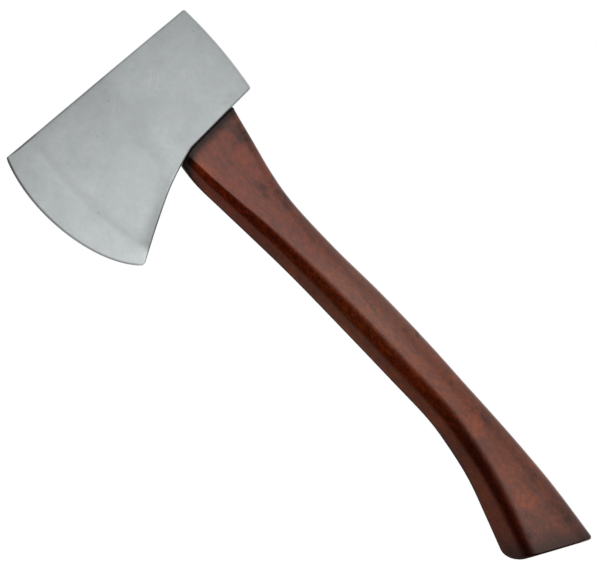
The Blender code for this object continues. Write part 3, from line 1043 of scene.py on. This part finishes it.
def end_grain(tree, place):
    """Colour of the handle's wood cut across the grain: growth rings and pores."""
    from_pith = vector_math(tree, "SUBTRACT", place, PITH)
    inputs = {"Vector": from_pith, "Scale": 0.14, "Distortion": 3.0, "Detail": 1.0, "Detail Scale": 0.12}
    wave = add_node(tree, "ShaderNodeTexWave", inputs, wave_type="RINGS", rings_direction="Z")
    inputs = {"Vector": sized(tree, place, (0.75, 0.75, 9.0)), "Scale": 1.0}
    pores = add_node(tree, "ShaderNodeTexVoronoi", inputs).outputs["Distance"]
    wood = ramp(tree, wave.outputs["Fac"], ((0.1, (0.105, 0.032, 0.015)), (0.8, (0.165, 0.056, 0.025))))
    return blend(tree, ramp(tree, pores, ((0.12, 0.75), (0.28, 0.0))), wood, (0.03, 0.009, 0.005))


def varnish(tree, z, lean, stains_and_shade, along_grain):
    """How much varnish is left: less on stained patches, painted shade and the slanting band, on the grip's
    worn front and across the grain.
    """
    free_of_stains_and_shade = linear(tree, stains_and_shade, -0.85, 1.0)
    unworn = linear(tree, band(tree, lean, 0.62, 0.45), -0.64, 1.0)
    return times(tree, free_of_stains_and_shade, unworn, along_grain, by_height(tree, z, COAT_DOWN))


def handle_wood():
    """Dark reddish varnished hardwood, with mottled figure, fibres, flecks, stained and smudged patches, and
    painted shade and sheen.
    """
    material, tree, shader = new_material("handle_wood")
    place = drawn_place(tree)
    z = parts(tree, place)[2]
    wander = cloud(tree, place, (20.0, 20.0, 50.0), 2.0)
    grain_place = vector_math(tree, "ADD", place, times(tree, wander, 16.0))
    fibres = cloud(tree, grain_place, (0.6, 0.6, 3.0), 3.0, 0.6)
    mottle = cloud(tree, place, (2.6, 2.6, 3.8), 4.0, 0.65, 0.5)
    flecks = cloud(tree, place, (1.3, 1.3, 2.2), 2.0)
    warmth = patches(tree, place, mottle, WOOD_WARM, ((0.35, 0.15), (0.65, 0.8)))
    # Dark smudge marks, with painted shade under the head and, below, along the foot's rim
    smudges_and_shade = patches(tree, place, mottle, WOOD_SMUDGES_AND_SHADE, ((0.35, 0.75), (0.65, 0.3)))
    # Painted shade along the foot's rim
    smudges_and_shade = calculate(tree, "MAXIMUM", smudges_and_shade, foot_rim_shade(tree, place))
    lean = times(tree, normal_parts(tree)[0], -1.0)
    on_band = ramp(tree, lean, BAND_LEAN)
    on_front = calculate(tree, "MAXIMUM", on_band, band(tree, lean, 0.78, 0.61))
    # Painted shade on the forward-facing band and front facet, between two heights down the grip
    front_shade = times(tree, on_front, band(tree, z, -300.0, -215.0), 0.7)
    # Dark wood right under the head: partly stained, partly painted shade
    stain_and_shade = stain_and_shade_under_head(tree, place, mottle)
    across_grain = band(tree, calculate(tree, "ABSOLUTE", normal_parts(tree)[2]), 0.9, 0.7)
    along_grain = linear(tree, across_grain, -0.8, 1.0)

    wood = plain_wood(tree, place, grain_place, fibres, mottle)
    wood = blend(tree, ramp(tree, flecks, ((0.62, 0.0), (0.75, 0.42))), wood, WOOD_FLECK)
    wood = blend(tree, warmth, wood, WOOD_WARMTH)
    wood = blend(tree, smudges_and_shade, wood, WOOD_SMUDGE_AND_SHADE)
    # Painted shade on the slanting band, which faces forward, with stronger flecks
    wood = blend(tree, on_band, wood, ramp(tree, flecks, BAND_FLECKS_AND_SHADE), "MULTIPLY")
    wood = blend(tree, front_shade, wood, WOOD_FRONT_SHADE)
    wood = blend(tree, stain_and_shade, wood, WOOD_STAIN_AND_SHADE)
    wood = blend(tree, across_grain, wood, end_grain(tree, place))

    # Stained patches, painted shade and the slanting band, where the varnish is thinner
    stains_and_shade = combine(tree, "MAXIMUM", stain_and_shade, times(tree, on_band, 0.8), smudges_and_shade)
    coat = varnish(tree, z, lean, stains_and_shade, along_grain)
    set_shader(
        shader,
        Base_Color=wood,
        Metallic=times(tree, along_grain, 0.62),
        Roughness=ramp(tree, fibres, ((0.3, 0.38), (0.7, 0.32))),
        Specular_IOR_Level=linear(tree, on_band, -0.4, 0.5),
        Coat_Weight=times(tree, coat, ramp(tree, fibres, ((0.3, 0.78), (0.7, 0.98)))),
        Coat_Roughness=0.18,
        Normal=bump(tree, ((fibres, 0.02), (mottle, 0.06))),
    )
    return material


# ---- Wedge wood and steel ----


def wedge_wood():
    """Pale end grain of the wooden wedge, crushed and stained."""
    material, tree, shader = new_material("wedge_wood")
    place = drawn_place(tree)
    layers = cloud(tree, place, (4.0, 0.45, 20.0), 3.0, 0.6, 0.6)
    pores = cloud(tree, place, (0.25, 0.25, 5.0), 2.0)
    wood = ramp(tree, layers, ((0.3, (0.20, 0.10, 0.045)), (0.7, (0.46, 0.28, 0.14))))
    wood = blend(tree, ramp(tree, pores, ((0.3, 0.6), (0.45, 0.0))), wood, (0.10, 0.05, 0.025))
    normal = bump(tree, ((pores, 0.08), (layers, 0.1)))
    set_shader(shader, Base_Color=wood, Roughness=0.75, Normal=normal)
    return material


def wedge_steel():
    """Dull steel of the cross wedges, bright where the hammer struck."""
    material, tree, shader = new_material("wedge_steel")
    place = drawn_place(tree)
    scale = cloud(tree, place, 1.2, 4.0, 0.6)
    pits = cloud(tree, place, 0.25, 2.0)
    steel = ramp(tree, scale, ((0.35, (0.16, 0.15, 0.14)), (0.65, (0.42, 0.42, 0.41))))
    set_shader(
        shader,
        Base_Color=steel,
        Metallic=1.0,
        Roughness=ramp(tree, scale, ((0.35, 0.6), (0.65, 0.38))),
        Normal=bump(tree, ((pits, 0.08), (scale, 0.15))),
    )
    return material


# ---- Studio ----

TURN = math.radians(39.84)  # how far the hatchet lies turned in the picture
LENS = 900.0
SENSOR = 36.0
PICTURE_WIDTH = 0.8965  # of the hatchet's height
AIM_SHIFT = Vector((17.5, 0.0, 28.0))  # from the middle of the hatchet's box to that of the picture

# Brightness round the studio, by the angle from square on towards the hatchet's front, in degrees
STUDIO = (
    (-90, 0.75),
    (-30, 0.85),
    (-10, 1.04),
    (0, 1.32),
    (12, 1.52),
    (29, 0.02),
    (56, 0.01),
    (68, 0.46),
    (90, 0.54),
)
# Brightness by height: the sine of the elevation
STUDIO_HEIGHT = ((-1.0, 0.2), (-0.5, 0.8), (0.0, 1.0), (0.5, 0.9), (1.0, 0.5))

FLOOR_HALF = 12.0  # metres
FLOOR_DROP = 0.3  # how far the floor lies under the handle


def make_camera():
    """A long lens square to the hatchet's side, rolled so that the handle runs down to the right."""
    low, high = CAD_BOX
    data = bpy.data.cameras.new("camera")
    data.lens = LENS
    data.sensor_width = SENSOR
    data.clip_end = 100.0
    camera = bpy.data.objects.new("camera", data)
    bpy.context.scene.collection.objects.link(camera)
    distance = PICTURE_WIDTH * (high.z - low.z) * LENS / SENSOR
    right = Vector((math.cos(TURN), 0.0, -math.sin(TURN)))
    up = Vector((math.sin(TURN), 0.0, math.cos(TURN)))
    back = Vector((0.0, -1.0, 0.0))
    aim = (low + high) / 2 + AIM_SHIFT * UNIT
    turned = Matrix((right, up, back)).transposed().to_4x4()
    camera.matrix_world = Matrix.Translation(aim + back * distance) @ turned
    bpy.context.scene.camera = camera


def make_studio_light():
    """Soft light from all round, with a dark gap towards the front. The camera sees plain white."""
    world = bpy.data.worlds.new("studio")
    bpy.context.scene.world = world
    world.use_nodes = True
    tree = world.node_tree
    tree.nodes.clear()
    x, y, z = parts(tree, add_node(tree, "ShaderNodeTexCoord").outputs["Generated"])
    towards_front = times(tree, x, -1.0)
    angle = calculate(tree, "ARCTAN2", towards_front, calculate(tree, "ABSOLUTE", y))
    across = linear(tree, angle, 1 / math.pi, 0.5)
    round_light = ramp(tree, across, [((degrees + 90) / 180, value) for degrees, value in STUDIO], "EASE")
    height = linear(tree, z, 0.5, 0.5)
    height_light = ramp(tree, height, [((sine + 1) / 2, value) for sine, value in STUDIO_HEIGHT])
    light = add_node(tree, "ShaderNodeBackground", {"Color": shaded(tree, round_light, height_light)})
    backdrop = add_node(tree, "ShaderNodeBackground", {"Color": (1.0, 1.0, 1.0, 1.0)})
    seen = add_node(tree, "ShaderNodeLightPath").outputs["Is Camera Ray"]
    both = add_node(tree, "ShaderNodeMixShader", {0: seen, 1: light.outputs[0], 2: backdrop.outputs[0]})
    add_node(tree, "ShaderNodeOutputWorld", {"Surface": both.outputs[0]})


def add_lamp(name, place, aim, only_for, size, brightness):
    """A round soft lamp that lights only one piece. brightness is that of its face."""
    data = bpy.data.lights.new(name, "AREA")
    data.shape = "DISK"
    data.size = size
    data.energy = brightness * math.pi * (math.pi * size**2 / 4)
    lamp = bpy.data.objects.new(name, data)
    bpy.context.scene.collection.objects.link(lamp)
    lamp.location = place
    lamp.rotation_euler = (Vector(place) - Vector(aim)).to_track_quat("Z", "Y").to_euler()
    lit = bpy.data.collections.new(f"lit by {name}")
    lit.objects.link(only_for)
    lamp.light_linking.receiver_collection = lit


def make_lamps(head, floor):
    """A lamp on each side that fills the dark gap for the head alone, and one that whitens the floor."""
    low, high = CAD_BOX
    head_middle = (HEAD_LOW + HEAD_HIGH) / 2
    for name, side in (("near", -1.0), ("far", 1.0)):
        place = head_middle + Vector((-0.55, side * 0.75, -0.5))
        add_lamp(f"head_fill_{name}", place, head_middle, head, size=0.9, brightness=2.4)
    add_lamp("floor_light", (0.3, -0.5, 1.6), (low + high) / 2, floor, size=1.4, brightness=6.0)


def floor_white():
    """A matt white that fades to plain white at a grazing angle."""
    material, tree, shader = new_material("floor_white")
    speckle = cloud(tree, drawn_place(tree), 50.0, 2.0)
    colour = ramp(tree, speckle, ((0.3, 0.9), (0.7, 0.92)))
    set_shader(shader, Base_Color=colour, Roughness=0.9, Specular_IOR_Level=0.0)
    geometry = add_node(tree, "ShaderNodeNewGeometry").outputs
    steep = vector_math(tree, "DOT_PRODUCT", geometry["Normal"], geometry["Incoming"], "Value")
    fade = ramp(tree, steep, ((0.12, 0.0), (0.18, 1.0)))
    white = add_node(tree, "ShaderNodeEmission", {"Strength": 1.0})
    both = add_node(tree, "ShaderNodeMixShader", {0: fade, 1: white.outputs[0], 2: shader.outputs[0]})
    tree.links.new(both.outputs[0], tree.nodes["Material Output"].inputs["Surface"])
    return material


def make_floor():
    """A white floor that only the camera sees, so that it doesn't light the hatchet."""
    shape = bmesh.new()
    bmesh.ops.create_grid(shape, x_segments=2, y_segments=2, size=FLOOR_HALF)
    floor = new_object("floor", shape, floor_white())
    floor.location.z = HANDLE_LOW.z - FLOOR_DROP * UNIT
    floor.visible_diffuse = False
    floor.visible_glossy = False
    floor.visible_shadow = False
    return floor


# ---- The whole scene ----


hatchet_head = make_head()
make_handle()
make_wood_wedge()
make_steel_wedges()
make_studio_light()
make_lamps(hatchet_head, make_floor())
make_camera()
bpy.context.scene.view_settings.view_transform = "Standard"
